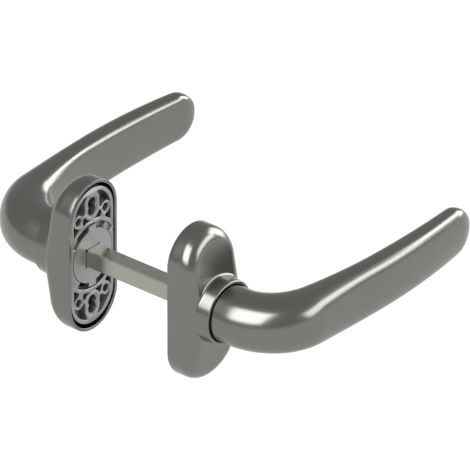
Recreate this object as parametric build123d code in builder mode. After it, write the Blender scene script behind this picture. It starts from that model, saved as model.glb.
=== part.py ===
from build123d import *
import math
import os

# Lever handle set for a framed door: two lever handles on oval roses, joined by a square spindle.
# Millimetres and degrees. The origin is the middle of the spindle, in the middle of the door leaf.
# The spindle lies along Y, the roses stand along Z, and both levers point along +X.
# Depths are measured outward from the door face.

# Clearances
running_clearance = 0.06
seat_clearance = 0.05
spring_clearance = 0.2
end_play = 0.8  # between the fixing plate's hub and the lever's neck, filled by the thrust washer

# Door and spindle
door_thickness = 52.6
spindle_size = 8.0
spindle_chamfer = 0.5
spindle_reach = 34.0  # how far the spindle goes past each door face

# Rose cover, a shell with a shallow roof and a collar
rose_width = 30.6
rose_height = 70.0
rose_wall = 1.4
rose_ridge_depth = 16.6
rose_roof_slope = 14.0
rose_ridge_radius = 25.0
rose_edge_radius = 4.4
rose_land_drop = 5.0  # from the ridge down to the flat seat inside, under the collar
collar_step = 1.1  # from the cover's side in to the collar
collar_wall = 1.1
collar_rise = 4.1
collar_edge_radius = 0.8
collar_foot_radius = 1.2

# Fixing plate, an openwork casting behind the cover
plate_recess = 0.4
plate_side_gap = 0.45
plate_end_gap = 1.9
plate_back = 5.0
plate_ring = 1.9
plate_edge_clearance = 0.1
snap_nub_height = 12.0
snap_nub_radius = 1.2
snap_nub_start = 1.0
screw_hole_radius = 2.55
screw_end_distance = 6.7
screw_slot_length = 3.5  # from the outer round of each keyhole slot to its inner round
screw_boss_radius = 4.5
dowel_hole_radius = 1.8
dowel_boss_radius = 3.2
dowel_x = 8.6
dowel_end_distance = 12.4
pocket_end_distance = 10.5
pocket_corner = 0.35
rib_wall = 1.7
web_pocket_height = 2.4
inner_web_angle = 76.4
inner_web_half_angle = 4.6
outer_web_angle = 54.4
outer_web_half_angle = 5.6
floor_depth = 3.2
window_ledge = 0.3
window_ledge_angle = 1.0
relief_depth = 1.2
relief_span = 18.0
hub_wall = 1.2
hub_height = 3.6

# Driver, a disc with two lugs that turns in the fixing plate
driver_side_wall = 1.25  # what the plate keeps beside the disc
driver_gap = 0.3
driver_thickness = 2.4
lug_reach = 2.2
lug_gap = 0.8
lug_half_width = 2.2
turn_limit = 28.0
stop_clearance = 0.8
driver_hub_length = 6.6  # how far the hub is pressed into the lever
driver_square_clearance = 0.15
corner_relief_radius = 0.5
finger_half_width = 1.6
finger_thickness = 1.5
finger_inset = 0.2
finger_end_gap = 0.1
washer_inset = 0.4

# Small inner parts
spring_wire = 1.2
spring_pitch = 1.28
spring_turns = 2
spring_lift = 0.15
spring_leg_reach = 2.2
ring_wire = 1.1
ring_distance = 3.1
ring_opening_angle = 30.0
bush_wall = 0.7
bush_flange_lap = 0.4
bush_flange_thickness = 1.1
bush_end_distance = 2.5
grub_radius = 3.0
grub_length = 7.0
grub_key = 3.0
grub_key_depth = 3.0
grub_chamfer = 0.4
grub_distance = 3.7  # from the collar's lip to the screw

# Lever, one casting: round neck, bend and bowed grip
neck_wall = 3.45
neck_straight = 5.1  # from the collar's lip to the bend
bend_radius = 22.6
grip_out_angle = 8.0
grip_in_angle = -8.75
lever_length = 120.0
inner_squareness = 0.88
outer_squareness = 0.68
bend_squareness = 0.8  # share of the grip's squareness that the bend reaches
bend_thickness = 18.3
bend_fade = 0.35  # share of the grip over which the bend's extra thickness runs out
grip_thickness = 12.5
tip_thinning = 3.7
grip_height = 24.6
tip_height = 20.8
tip_length = 10.6  # length of the rounded end
tip_edge_radius = 3.15
tip_angles = (20, 38, 54, 67, 77, 84)
socket_spare = 2.0
socket_clearance = 0.1

SIDES = {"outside": -1, "inside": 1}
half_door = door_thickness / 2
round_pull = 4 / 3 * (math.sqrt(2) - 1)  # makes a quarter of an ellipse
roof_fall = math.tan(math.radians(rose_roof_slope))
rose_land_depth = rose_ridge_depth - rose_land_drop
collar_radius = rose_width / 2 - collar_step
collar_bore = collar_radius - collar_wall
collar_depth = rose_ridge_depth + collar_rise
plate_face = plate_recess
plate_width = rose_width - 2 * (rose_wall + plate_side_gap)
plate_height = rose_height - 2 * (rose_wall + plate_end_gap)
screw_spacing_long = plate_height - 2 * screw_end_distance
screw_spacing_short = screw_spacing_long - 2 * screw_slot_length
dowel_z = plate_height / 2 - dowel_end_distance
large_pocket_start = plate_height / 2 - pocket_end_distance
driver_radius = plate_width / 2 - driver_side_wall
driver_back = plate_face + driver_thickness
lug_radius = driver_radius + lug_reach
window_radius = lug_radius + lug_gap
window_floor_radius = window_radius - window_ledge
window_half_angle = turn_limit + stop_clearance + math.degrees(math.asin(lug_half_width / driver_radius))
rib_outer_radius = window_radius + rib_wall
finger_outer_radius = lug_radius - finger_inset
finger_inner_radius = finger_outer_radius - finger_thickness
neck_radius = collar_bore - bush_wall
driver_hub_radius = neck_radius - neck_wall
hub_bore = driver_hub_radius + running_clearance
hub_outer = hub_bore + hub_wall
hub_end = plate_back + hub_height
finger_end = hub_end - finger_end_gap
neck_start = hub_end + end_play
driver_hub_end = neck_start + driver_hub_length
ring_depth = neck_start + ring_distance
neck_end = collar_depth + neck_straight
grub_depth = collar_depth + grub_distance
socket_end = spindle_reach + socket_spare
bush_flange_radius = collar_bore + bush_flange_lap
bush_end = collar_depth - bush_end_distance
spring_start = plate_back + spring_lift + spring_wire / 2
spring_radius = hub_outer + spring_clearance + spring_wire / 2
spring_leg_x = finger_half_width + seat_clearance + spring_wire / 2
spring_leg_end = finger_outer_radius + spring_leg_reach
made = []


def seat(side, out=0.0, turn=0.0):
    """Plane at a distance outward from the door face: z points outward and y up, turned about z if asked."""
    angle = math.radians(turn)
    x_dir = (-side * math.cos(angle), 0, math.sin(angle))
    return Plane(origin=(0, side * (half_door + out), 0), x_dir=x_dir, z_dir=(0, side, 0))


def polar(radius, angle):
    return (radius * math.cos(math.radians(angle)), radius * math.sin(math.radians(angle)))


def finish(builder, name):
    builder.part.label = name
    export_step(builder.part, f"parts/{name}.step")
    made.append(name)


def make_sector(radius, middle, half_angle):
    """Sketch of a pie slice about the spindle axis."""
    reach = 2 * radius
    Polygon((0, 0), polar(reach, middle - half_angle), polar(reach, middle), polar(reach, middle + half_angle),
            align=None)
    Circle(radius, mode=Mode.INTERSECT)


def make_roof_profile(side, half_height, ridge, flat=None):
    """Side view of the rose on the YZ plane: a shallow roof that falls both ways from its ridge."""
    top = ridge if flat is None else flat
    shoulder = 0.0 if flat is None else (ridge - flat) / roof_fall
    end = ridge - roof_fall * half_height
    ys = [half_door, half_door + end, half_door + top]
    points = [(side * ys[0], half_height), (side * ys[1], half_height), (side * ys[2], shoulder)]
    if flat is not None:
        points.append((side * ys[2], -shoulder))
    points += [(side * ys[1], -half_height), (side * ys[0], -half_height)]
    Polygon(*points, align=None)


def outward_rim(builder, side):
    """Edges round the outward faces, without the ridges that cross them."""
    outward = builder.faces().filter_by(lambda f: f.normal_at().Y * side > math.cos(math.radians(60)))
    return outward.edges().filter_by(Axis.X, reverse=True)


def make_rose_cover(side, name):
    inner_half_width = rose_width / 2 - rose_wall
    inner_half_height = rose_height / 2 - rose_wall
    inner_ridge = rose_ridge_depth - rose_wall / math.cos(math.radians(rose_roof_slope))
    with BuildPart() as cavity:
        with BuildSketch(seat(side)):
            SlotOverall(2 * inner_half_height, 2 * inner_half_width, rotation=90)
        extrude(amount=rose_land_depth)
        with BuildSketch(Plane.YZ):
            make_roof_profile(side, inner_half_height, inner_ridge, rose_land_depth)
        extrude(amount=rose_width, both=True, mode=Mode.INTERSECT)
        fillet(outward_rim(cavity, side), rose_edge_radius - rose_wall)
        # Round seat for the bush's flange
        with BuildSketch(seat(side)):
            Circle(bush_flange_radius + seat_clearance)
        extrude(amount=rose_land_depth)
    with BuildPart() as rose_cover:
        with BuildSketch(seat(side)):
            SlotOverall(rose_height, rose_width, rotation=90)
        extrude(amount=rose_ridge_depth)
        with BuildSketch(Plane.YZ):
            make_roof_profile(side, rose_height / 2, rose_ridge_depth)
        extrude(amount=rose_width, both=True, mode=Mode.INTERSECT)
        ridge = rose_cover.edges().filter_by(Axis.X).sort_by(lambda e: e.center().Y * side)[-1]
        fillet(ridge, rose_ridge_radius)
        fillet(outward_rim(rose_cover, side), rose_edge_radius)
        with BuildSketch(seat(side, rose_land_depth)):
            Circle(collar_radius)
        before = rose_cover.edges()
        extrude(amount=collar_depth - rose_land_depth)
        added = [e for e in rose_cover.edges() if e not in before and e.geom_type != GeomType.LINE]
        lip = max(added, key=lambda e: e.center().Y * side)
        fillet(lip, collar_edge_radius)
        fillet([e for e in added if e != lip], collar_foot_radius)
        add(cavity.part, mode=Mode.SUBTRACT)
        with BuildSketch(seat(side)):
            Circle(collar_bore)
        extrude(amount=collar_depth, mode=Mode.SUBTRACT)
    finish(rose_cover, name)


def make_fixing_plate(side, name):
    half_height = plate_height / 2
    with BuildPart() as fixing_plate:
        with BuildSketch(seat(side, plate_face)):
            SlotOverall(plate_height, plate_width, rotation=90)
        extrude(amount=plate_back - plate_face)
        for turn in (0, 180):
            face = seat(side, plate_face, turn)
            with BuildSketch(face) as pockets:
                SlotOverall(plate_height - 2 * plate_ring, plate_width - 2 * plate_ring, rotation=90)
                with Locations((0, large_pocket_start)):
                    Rectangle(plate_width, half_height, align=(Align.CENTER, Align.MIN), mode=Mode.INTERSECT)
                with Locations((0, screw_spacing_short / 2)):
                    Rectangle(2 * screw_boss_radius, half_height, align=(Align.CENTER, Align.MIN),
                              mode=Mode.SUBTRACT)
                with Locations((dowel_x, dowel_z), (-dowel_x, dowel_z)):
                    Circle(dowel_boss_radius, mode=Mode.SUBTRACT)
                fillet(pockets.vertices(), pocket_corner)
            extrude(amount=plate_back, mode=Mode.SUBTRACT)
            with BuildSketch(face) as webs:
                for mid, spread in ((inner_web_angle, inner_web_half_angle), (outer_web_angle, outer_web_half_angle)):
                    for flip in (1, -1):
                        low = rib_outer_radius / math.cos(math.radians(spread))
                        corners = [polar(low, mid - spread), polar(low + web_pocket_height, mid),
                                   polar(low, mid + spread)]
                        Polygon(*[(flip * x, y) for x, y in corners], align=None)
                fillet(webs.vertices(), pocket_corner)
            extrude(amount=plate_back, mode=Mode.SUBTRACT)
            with BuildSketch(face):
                with Locations((0, screw_spacing_short / 2), (0, screw_spacing_long / 2)):
                    Circle(screw_hole_radius)
                with Locations((dowel_x, dowel_z), (-dowel_x, dowel_z)):
                    Circle(dowel_hole_radius)
            extrude(amount=plate_back, mode=Mode.SUBTRACT)
            with BuildSketch(face):
                make_sector(window_radius, 90, window_half_angle)
            extrude(amount=floor_depth - plate_face, mode=Mode.SUBTRACT)
        # Lug windows go through the floor: all round the lower lug, and on one side of the upper one
        with BuildSketch(seat(side, plate_face)):
            make_sector(window_floor_radius, 270, window_half_angle - window_ledge_angle)
            make_sector(window_floor_radius, 90 - window_half_angle / 2, window_half_angle / 2 - window_ledge_angle)
            Circle(driver_radius, mode=Mode.SUBTRACT)
        extrude(amount=plate_back, mode=Mode.SUBTRACT)
        with BuildSketch(seat(side, plate_face)):
            make_sector(window_radius, 90, window_half_angle + relief_span)
            Circle(driver_radius, mode=Mode.SUBTRACT)
        extrude(amount=relief_depth, mode=Mode.SUBTRACT)
        with BuildSketch(seat(side, plate_face)):
            Circle(driver_radius + driver_gap)
        extrude(amount=floor_depth - plate_face, mode=Mode.SUBTRACT)
        # Hub that the driver turns in, with a post for the spring's legs
        with BuildSketch(seat(side, floor_depth)):
            Circle(hub_outer)
        extrude(amount=hub_end - floor_depth)
        with BuildSketch(seat(side, plate_back)):
            with Locations((0, -window_floor_radius)):
                Rectangle(2 * finger_half_width, spring_leg_end - window_floor_radius + seat_clearance,
                          align=(Align.CENTER, Align.MAX))
        extrude(amount=hub_end - plate_back)
        with BuildSketch(seat(side)):
            Circle(hub_bore)
        extrude(amount=hub_end, mode=Mode.SUBTRACT)
        # Nubs on the long edges, which the cover snaps over
        nub_x = rose_width / 2 - rose_wall - plate_edge_clearance - snap_nub_radius
        with BuildSketch(seat(side, plate_face + snap_nub_start)):
            with GridLocations(2 * nub_x, 2 * snap_nub_height, 2, 2):
                Circle(snap_nub_radius)
        extrude(amount=plate_back - plate_face - snap_nub_start)
    finish(fixing_plate, name)


def make_driver(side, name):
    square = spindle_size + 2 * driver_square_clearance
    with BuildPart() as driver:
        with BuildSketch(seat(side, plate_face)):
            Circle(lug_radius)
            Rectangle(2 * lug_half_width, 2 * lug_radius, mode=Mode.INTERSECT)
            Circle(driver_radius)
        extrude(amount=driver_thickness)
        with BuildSketch(seat(side, driver_back)):
            Circle(driver_hub_radius)
        extrude(amount=driver_hub_end - driver_back)
        with BuildSketch(seat(side, driver_back)):
            with Locations((0, -finger_inner_radius)):
                Rectangle(2 * finger_half_width, finger_thickness, align=(Align.CENTER, Align.MAX))
        extrude(amount=finger_end - driver_back)
        with BuildSketch(seat(side, plate_face)):
            Rectangle(square, square)
            with GridLocations(square, square, 2, 2):
                Circle(corner_relief_radius)
        extrude(amount=driver_hub_end, mode=Mode.SUBTRACT)
        with BuildSketch(Plane.XY):
            with Locations((driver_hub_radius, side * (half_door + ring_depth))):
                Circle(ring_wire / 2 + seat_clearance)
        revolve(axis=Axis.Y, mode=Mode.SUBTRACT)
    finish(driver, name)


def make_washer(side, name, start, end, inner, outer):
    with BuildPart() as washer:
        with BuildSketch(seat(side, start + seat_clearance)):
            Circle(outer)
            Circle(inner, mode=Mode.SUBTRACT)
        extrude(amount=end - start - 2 * seat_clearance)
    finish(washer, name)


def make_retaining_ring(side, name):
    with BuildPart() as retaining_ring:
        with BuildSketch(Plane.XY):
            with Locations((driver_hub_radius, side * (half_door + ring_depth))):
                Circle(ring_wire / 2)
        revolve(axis=Axis.Y, revolution_arc=360 - ring_opening_angle)
    finish(retaining_ring, name)


def make_neck_bush(side, name):
    with BuildPart() as neck_bush:
        with BuildSketch(seat(side, rose_land_depth - bush_flange_thickness - seat_clearance)):
            Circle(bush_flange_radius)
        extrude(amount=bush_flange_thickness)
        with BuildSketch(seat(side, rose_land_depth - bush_flange_thickness)):
            Circle(collar_bore - seat_clearance)
        extrude(amount=bush_end - rose_land_depth + bush_flange_thickness)
        with BuildSketch(seat(side)):
            Circle(neck_radius + running_clearance)
        extrude(amount=bush_end, mode=Mode.SUBTRACT)
    finish(neck_bush, name)


def make_return_spring(side, name):
    """Torsion spring round the hub: its two legs hold the finger of the driver in the middle."""
    lean = math.degrees(math.asin(spring_leg_x / spring_radius))
    sweep_angle = 360 * spring_turns - 2 * lean
    rise = spring_pitch * sweep_angle / 360
    start_plane = seat(side, spring_start, 270 + lean)
    leg_top = -spring_radius * math.cos(math.radians(lean))
    coil = start_plane.location * Helix(spring_pitch, rise, spring_radius)
    with BuildPart() as return_spring:
        with BuildSketch(Plane(coil @ 0, z_dir=coil % 0)):
            Circle(spring_wire / 2)
        sweep(path=coil)
        for x, out in ((spring_leg_x, 0), (-spring_leg_x, rise)):
            level = seat(side, spring_start + out)
            elbow = level.from_local_coords((x, leg_top, 0))
            tip = level.from_local_coords((x, -spring_leg_end, 0))
            with BuildSketch(Plane(elbow, z_dir=(0, 0, -1))):
                Circle(spring_wire / 2)
            extrude(amount=(tip - elbow).length)
            with Locations(elbow):
                Sphere(spring_wire / 2)
    finish(return_spring, name)


def make_grub_screw(side, name):
    bottom = Plane(origin=(0, side * (half_door + grub_depth), -spindle_size / 2 - seat_clearance),
                   x_dir=(1, 0, 0), z_dir=(0, 0, -1))
    with BuildPart() as grub_screw:
        with BuildSketch(bottom):
            Circle(grub_radius - seat_clearance)
        extrude(amount=grub_length)
        with BuildSketch(bottom.offset(grub_length)):
            RegularPolygon(grub_key / 2, 6, major_radius=False)
        extrude(amount=-grub_key_depth, mode=Mode.SUBTRACT)
        chamfer(grub_screw.edges().filter_by(GeomType.CIRCLE), grub_chamfer)
    finish(grub_screw, name)


def make_spindle():
    with BuildPart() as spindle:
        with BuildSketch(Plane.XZ):
            Rectangle(spindle_size, spindle_size)
        extrude(amount=half_door + spindle_reach, both=True)
        chamfer(spindle.edges().filter_by(Axis.Y), spindle_chamfer)
        chamfer(spindle.edges().filter_by(Axis.Y, reverse=True), spindle_chamfer / 2)
    finish(spindle, "spindle")


def make_section(place, heading, size, fullness):
    """Closed section across the outside lever: four quarters, each pulled out towards its corner.

    The face towards the door is flatter than the outer face.
    """
    direction = (math.cos(heading), -math.sin(heading), 0)
    outward = (-math.sin(heading), -math.cos(heading), 0)
    at = (place[0], -half_door - place[1], 0)
    a, b = size[0] / 2, size[1] / 2
    outer = round_pull + (outer_squareness - round_pull) * fullness
    inner = round_pull + (inner_squareness - round_pull) * fullness
    with BuildSketch(Plane(origin=at, x_dir=outward, z_dir=direction)) as section:
        with BuildLine():
            for x, y, pull in ((a, b, outer), (-a, b, inner), (-a, -b, inner), (a, -b, outer)):
                Bezier((x, 0), (x, pull * y), (pull * x, y), (0, y))
        make_face()
    return section.sketch


def grip_heading(share):
    """Direction of the grip in plan at a share of its length: it bows away from the door and back."""
    return math.radians(grip_out_angle + (grip_in_angle - grip_out_angle) * share)


def grip_size(share):
    """Thickness and height of the grip at a share of its length, from the bend to the tip."""
    extra = (bend_thickness - grip_thickness) * max(0.0, 1 - share / bend_fade) ** 2
    thickness = grip_thickness - tip_thinning * share ** 3 + extra
    return thickness, grip_height - (grip_height - tip_height) * share ** 2


def bend_sections(grip_length):
    """Sections of the round neck and round the bend, up to the grip, where the bend's taper runs on."""
    steps = 6
    turn = math.pi / 2 - grip_heading(0)
    slope = -2 * (bend_thickness - grip_thickness) / bend_fade * bend_radius * turn / grip_length
    first = grip_size(0)
    neck_size = (2 * neck_radius, 2 * neck_radius)
    sections = [make_section((0, collar_depth), math.pi / 2, neck_size, 0)]
    for i in range(steps + 1):
        share = i / steps
        ease = share ** 2 * (3 - 2 * share)
        heading = math.pi / 2 - turn * share
        place = (bend_radius * (1 - math.sin(heading)), neck_end + bend_radius * math.cos(heading))
        size = [2 * neck_radius + (value - 2 * neck_radius) * ease for value in first]
        size[0] += slope * (share ** 3 - share ** 2)
        sections.append(make_section(place, heading, size, bend_squareness * ease))
    return sections


def lever_sections():
    """Sections round the bend and along the grip, then those of its rounded end, following the curve."""
    x = bend_radius * (1 - math.sin(grip_heading(0)))
    out = neck_end + bend_radius * math.cos(grip_heading(0))
    grip_length = lever_length - x
    sections = bend_sections(grip_length)
    steps = 8
    step = (grip_length - tip_length) / steps
    for i in range(1, steps + 1):
        share = i * step / grip_length
        x += step
        out += step * math.tan(grip_heading(share - step / grip_length / 2))
        fullness = min(1, bend_squareness + share)
        sections.append(make_section((x, out), grip_heading(share), grip_size(share), fullness))
    tip_sections = [sections[-1]]
    for angle in tip_angles:
        rise = tip_length * math.sin(math.radians(angle))
        loss = 1 - math.cos(math.radians(angle))
        end_share = share + rise / grip_length
        place = (x + rise, out + rise * math.tan(grip_heading((share + end_share) / 2)))
        thickness, height = grip_size(end_share)
        size = (thickness - 2 * tip_edge_radius * loss, height * (1 - loss))
        tip_sections.append(make_section(place, grip_heading(end_share), size, 1))
    return sections, tip_sections


def make_lever(side, name):
    """Lever of the outside; the inside one is its mirror image across the door leaf."""
    near = SIDES["outside"]
    with BuildPart() as lever:
        sections, tip_sections = lever_sections()
        extrude(sections[0], amount=neck_start - collar_depth)
        loft(sections)
        loft(tip_sections)
        with BuildSketch(seat(near, neck_start)):
            Circle(driver_hub_radius + seat_clearance)
        extrude(amount=driver_hub_end + seat_clearance - neck_start, mode=Mode.SUBTRACT)
        with BuildSketch(seat(near, neck_start)):
            Rectangle(spindle_size + 2 * socket_clearance, spindle_size + 2 * socket_clearance)
        extrude(amount=socket_end - neck_start, mode=Mode.SUBTRACT)
        with BuildSketch(Plane.XY):
            with Locations((driver_hub_radius, near * (half_door + ring_depth))):
                Circle(ring_wire / 2 + seat_clearance)
        revolve(axis=Axis.Y, mode=Mode.SUBTRACT)
        grub_axis = Plane(origin=(0, near * (half_door + grub_depth), 0), x_dir=(1, 0, 0), z_dir=(0, 0, -1))
        with BuildSketch(grub_axis):
            Circle(grub_radius)
        extrude(amount=neck_radius + grub_radius, mode=Mode.SUBTRACT)
        if side != near:
            mirror(lever.part, about=Plane.XZ, mode=Mode.REPLACE)
    finish(lever, name)


os.makedirs("parts", exist_ok=True)
make_spindle()
for place_name, side in SIDES.items():
    make_rose_cover(side, f"{place_name}_rose_cover")
    make_fixing_plate(side, f"{place_name}_fixing_plate")
    make_driver(side, f"{place_name}_driver")
    make_washer(side, f"{place_name}_slide_washer", driver_back, floor_depth, hub_bore,
                driver_radius - washer_inset)
    make_washer(side, f"{place_name}_thrust_washer", hub_end, neck_start, hub_bore, hub_outer)
    make_neck_bush(side, f"{place_name}_neck_bush")
    make_return_spring(side, f"{place_name}_return_spring")
    make_retaining_ring(side, f"{place_name}_retaining_ring")
    make_grub_screw(side, f"{place_name}_grub_screw")
    make_lever(side, f"{place_name}_lever")
print(len(made), "nodes")
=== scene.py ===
import math

import bmesh
import bpy
import numpy as np
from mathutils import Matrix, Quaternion, Vector
from mathutils.geometry import tessellate_polygon


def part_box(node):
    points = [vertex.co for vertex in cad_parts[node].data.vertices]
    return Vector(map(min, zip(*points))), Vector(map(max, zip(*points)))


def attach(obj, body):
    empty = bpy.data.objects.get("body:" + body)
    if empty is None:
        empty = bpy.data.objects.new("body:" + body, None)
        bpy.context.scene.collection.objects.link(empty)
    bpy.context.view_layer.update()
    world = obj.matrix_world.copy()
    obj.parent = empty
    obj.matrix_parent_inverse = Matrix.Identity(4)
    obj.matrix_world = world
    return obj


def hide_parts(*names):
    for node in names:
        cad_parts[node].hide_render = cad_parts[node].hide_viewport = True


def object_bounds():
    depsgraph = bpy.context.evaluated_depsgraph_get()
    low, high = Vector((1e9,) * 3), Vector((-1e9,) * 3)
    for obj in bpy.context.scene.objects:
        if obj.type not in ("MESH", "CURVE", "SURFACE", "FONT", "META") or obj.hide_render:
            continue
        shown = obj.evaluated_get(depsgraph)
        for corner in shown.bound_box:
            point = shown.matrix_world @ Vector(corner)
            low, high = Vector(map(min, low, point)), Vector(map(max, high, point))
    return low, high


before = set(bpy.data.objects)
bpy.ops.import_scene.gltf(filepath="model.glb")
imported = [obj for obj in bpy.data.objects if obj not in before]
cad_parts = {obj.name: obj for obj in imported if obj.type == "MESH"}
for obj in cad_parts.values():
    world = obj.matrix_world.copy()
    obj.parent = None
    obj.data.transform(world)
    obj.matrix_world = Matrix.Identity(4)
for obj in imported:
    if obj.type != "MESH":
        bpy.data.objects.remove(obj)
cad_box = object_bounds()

bl_info = {
    "name": "Lever handle set",
    "version": (1, 0, 0),
    "blender": (4, 5, 0),
    "location": "View3D > Sidebar > Handles",
    "description": "Dresses a pair of lever handles on oval roses, with their plates and spindle",
    "category": "Add Mesh",
}

MM = 0.001
SIDES = {"outside": -1, "inside": 1}
DOOR_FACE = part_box("inside_rose_cover")[0].y
SPINDLE_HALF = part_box("spindle")[1].x
ROUND_PULL = 4 / 3 * (math.sqrt(2) - 1)  # makes a quarter circle of a cubic curve
LEVER_CREASE = math.radians(40)
PLATE_CREASE = math.radians(50)


# Property shorthands, so that each size is one line

def length(name, description, millimetres):
    return bpy.props.FloatProperty(name=name, description=description, default=millimetres * MM,
                                   min=0, unit="LENGTH", precision=5)


def angle(name, description, degrees):
    return bpy.props.FloatProperty(name=name, description=description, default=math.radians(degrees),
                                   unit="ROTATION")


def share(name, description, default):
    return bpy.props.FloatProperty(name=name, description=description, default=default,
                                   min=0, max=1, subtype="FACTOR")


def colour(name, description, default):
    return bpy.props.FloatVectorProperty(name=name, description=description, default=default,
                                         min=0, max=1, size=3, subtype="COLOR")


class LeverSizes(bpy.types.PropertyGroup):
    neck_radius: length("Neck radius", "Round neck that turns in the collar", 12.4)
    neck_start: length("Neck start", "Hidden end of the neck, from the door face", 9.4)
    neck_end: length("Neck end", "Where the bend begins, from the door face", 25.795)
    bend_radius: length("Bend radius", "Of the lever's middle line", 22.6)
    reach: length("Reach", "From the spindle's axis to the tip", 119.975)
    out_angle: angle("Outward angle", "How the grip leaves the bend, away from the door", 8.0)
    in_angle: angle("Inward angle", "How the grip ends, towards the door", 8.75)
    bend_thickness: length("Bend thickness", "Thickness where the grip begins", 18.3)
    bend_fade: share("Bend fade", "Share of the grip over which it thins", 0.35)
    grip_thickness: length("Grip thickness", "Thickness along the grip", 12.5)
    tip_thinning: length("Tip thinning", "How much thinner the tip is", 3.7)
    grip_height: length("Grip height", "Height where the grip begins", 24.6)
    tip_height: length("Tip height", "Height that the grip falls to at its tip", 20.8)
    inner_squareness: share("Inner squareness", "How far the corners towards the door are pushed out", 0.88)
    outer_squareness: share("Outer squareness", "How far the corners away from the door are pushed out", 0.68)
    bend_squareness: share("Bend squareness", "Share of the squareness that the bend reaches", 0.8)
    tip_length: length("Tip length", "Length of the rounded end", 10.6)
    tip_edge: length("Tip edge radius", "Rounding of the end's faces", 3.15)
    hub_radius: length("Hub pocket radius", "Pocket for the driver's hub", 9.0)
    hub_end: length("Hub pocket end", "From the door face", 16.05)
    socket: length("Square socket", "Across flats", 8.2)
    socket_end: length("Socket end", "From the door face", 36.0)
    grub_radius: length("Grub screw hole radius", "Hole below the neck", 3.0)
    grub_place: length("Grub screw place", "From the door face", 24.4)


class RoseSizes(bpy.types.PropertyGroup):
    width: length("Width", "Across the rose", 30.6)
    height: length("Height", "Along the rose", 69.998)
    wall: length("Wall", "Thickness of the shell", 1.4)
    ridge_depth: length("Ridge depth", "Peak of the roof, from the door face", 16.6)
    roof_slope: angle("Roof slope", "Fall of the roof to both ends", 10.0)
    ridge_radius: length("Ridge radius", "Rounding of the roof's ridge", 25.0)
    edge_radius: length("Edge radius", "Rounding between roof and wall", 5.4)
    rim_radius: length("Rim radius", "Small rounding of the rim", 0.25)
    land_depth: length("Land depth", "Flat seat inside, under the collar", 11.6)
    land_radius: length("Land radius", "Round seat for the bush's flange", 13.55)
    collar_radius: length("Collar radius", "Outside of the collar at its lip", 14.1)
    collar_flare: length("Collar flare", "How much wider the collar is at its foot", 0.5)
    collar_depth: length("Collar depth", "Front of the collar, from the door face", 20.7)
    collar_bore: length("Collar bore", "Radius of the hole, round the bush", 13.1)
    mouth_bore: length("Mouth bore", "Radius of the hole past the bush", 12.85)
    mouth_start: length("Mouth start", "End of the bush, from the door face", 18.3)
    lip_radius: length("Lip radius", "Rounding of the collar's lip", 0.8)
    foot_radius: length("Foot radius", "Hollow where the collar meets the roof", 1.2)


class PlateSizes(bpy.types.PropertyGroup):
    width: length("Width", "Across the plate", 26.9)
    height: length("Height", "Along the plate", 63.4)
    face: length("Face", "From the door face", 0.4)
    floor: length("Floor", "Seat of the disc, from the door face", 3.2)
    pocket_floor: length("Pocket floor", "Bottom of the large pockets, from the door face", 4.3)
    back: length("Back", "From the door face", 5.0)
    ring: length("Outer ring", "Width of the ring round the openwork", 1.65)
    edge: length("Edge", "Rounding of the face's edges", 0.14)
    web_radius: length("Web radius", "Outside of the round web about the driver", 16.9)
    screw_far: length("Far screw", "Outer round of the screw holes, from the spindle's axis", 25.0)
    screw_near: length("Near screw", "Inner round of the screw holes", 21.5)
    screw_radius: length("Screw hole radius", "Of both rounds", 2.5)
    screw_boss: length("Screw boss radius", "Wall round the screw holes", 4.6)
    dowel_x: length("Dowel x", "Dowel hole, across from the axis", 8.6)
    dowel_z: length("Dowel z", "Dowel hole, along from the axis", 19.3)
    dowel_radius: length("Dowel hole radius", "Blind round hole", 1.75)
    dowel_boss: length("Dowel boss radius", "Wall round the dowel hole", 2.95)
    arm_half: length("Arm half width", "Web from the dowel boss in to the round web", 1.35)
    tie_half: length("Tie half width", "Web between dowel boss and screw boss", 0.7)
    crown_half: length("Crown half width", "Where the screw boss runs into the outer ring", 3.3)
    pocket_start: length("Pocket start", "Where the floor of the large pockets begins, from the axis", 19.9)
    step_depth: length("Step depth", "Shallow step round each hole", 0.35)
    step_width: length("Step width", "How far the step reaches past the hole", 0.75)
    seat_radius: length("Seat radius", "Recess that the driver's disc turns in", 12.5)
    window_radius: length("Window radius", "Recess that the driver's lugs turn in", 15.2)
    window_angle: angle("Window angle", "From the middle of a window to its end", 39.2)
    relief_angle: angle("Relief angle", "From the middle of a window to the end of its shallow relief", 57.2)
    relief_depth: length("Relief depth", "Of the shallow reliefs", 1.2)
    bore: length("Bore", "Radius of the hole that the driver's hub turns in", 9.01)
    hub_radius: length("Hub radius", "Outside of the hub", 10.21)
    hub_end: length("Hub end", "From the door face", 8.6)
    post_half: length("Post half width", "Post for the spring's legs", 1.6)
    post_reach: length("Post reach", "End of the post, from the axis", 14.9)
    nub_x: length("Nub x", "Middle of the nubs that the cover snaps over", 12.6)
    nub_z: length("Nub z", "The same, along the plate", 12.0)
    nub_radius: length("Nub radius", "Of the nubs", 1.2)


class SpindleSizes(bpy.types.PropertyGroup):
    corner: length("Corner", "Chamfer along the four corners", 0.5)
    end: length("End", "Chamfer round both ends", 0.25)


class Colours(bpy.types.PropertyGroup):
    titanium: colour("Titanium", "Satin lacquer of levers and roses", (0.215, 0.212, 0.200))
    zinc: colour("Zinc", "Bare casting of plates and drivers", (0.390, 0.396, 0.394))
    steel: colour("Steel", "Drawn bar of the spindle", (0.400, 0.397, 0.348))
    spring: colour("Spring", "Oiled spring wire", (0.30, 0.30, 0.30))
    nylon: colour("Nylon", "Bushes and washers", (0.02, 0.02, 0.02))
    grub: colour("Grub screw", "Black oxide steel", (0.06, 0.06, 0.06))


# Materials

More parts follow.
